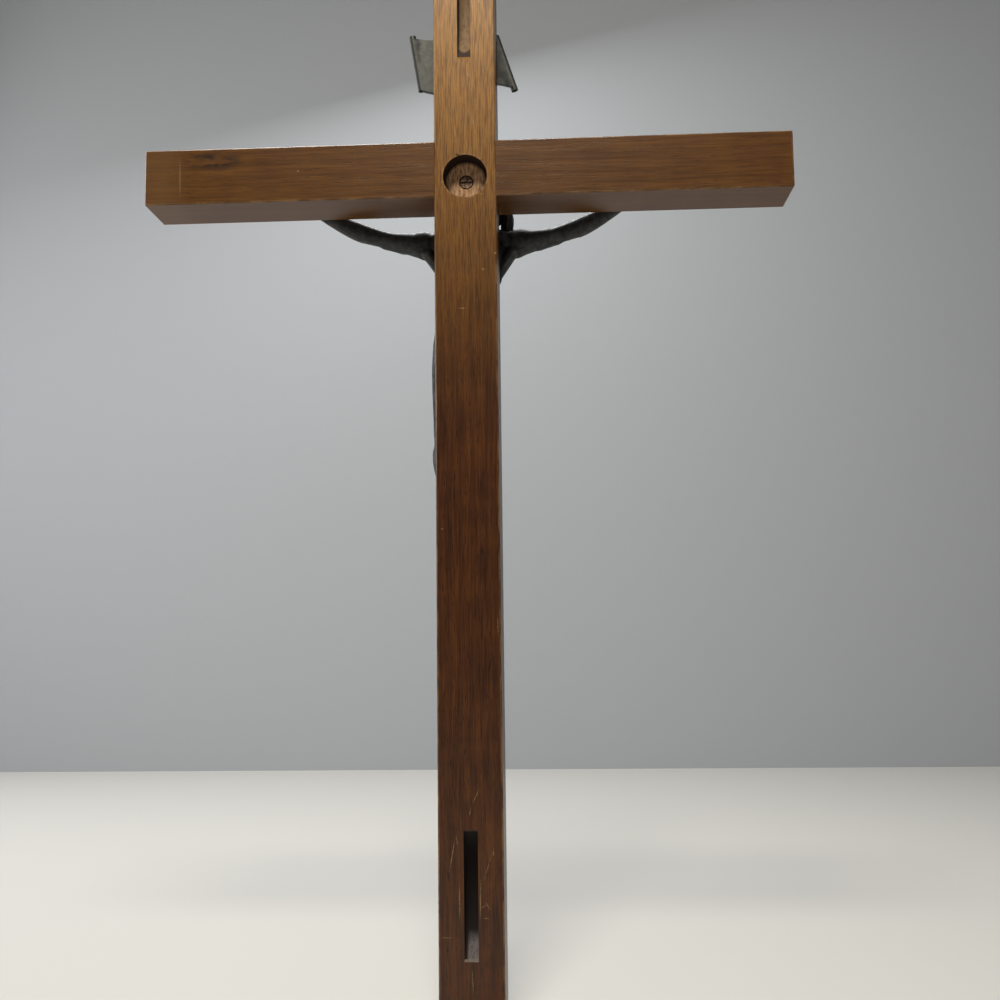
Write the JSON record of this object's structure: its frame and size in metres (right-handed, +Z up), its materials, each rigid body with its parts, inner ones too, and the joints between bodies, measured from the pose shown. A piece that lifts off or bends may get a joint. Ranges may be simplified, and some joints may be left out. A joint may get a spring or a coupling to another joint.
{
  "type": "wall crucifix",
  "caption": "Wooden wall cross of half-lapped beams with a cast corpus nailed to its front, a bare scroll above, and a round hanging recess and saw slots in the back.",
  "frame": {"origin": "centre of the mouth of the round hanging recess, on the back face", "axes": "+Y out of the back towards the wall, -Y towards the room, +Z up along the upright, +X towards the figure's left hand"},
  "size_m": [0.2336, 0.0448, 0.4064],
  "materials": {
    "walnut_upright": "satin lacquer",
    "walnut_crossbeam": "satin lacquer",
    "dark_cast_metal": "oxidised, satin",
    "nail_steel": "dull",
    "screw_brass": "dull"
  },
  "bodies": {
    "root": {"upright": "walnut_upright", "crossbeam": "walnut_crossbeam", "corpus": "dark_cast_metal", "titulus": "dark_cast_metal", "left_hand_nail": "nail_steel", "right_hand_nail": "nail_steel", "feet_nail": "nail_steel", "titulus_pins": "nail_steel", "lap_screw": "screw_brass"}
  },
  "joints": []
}
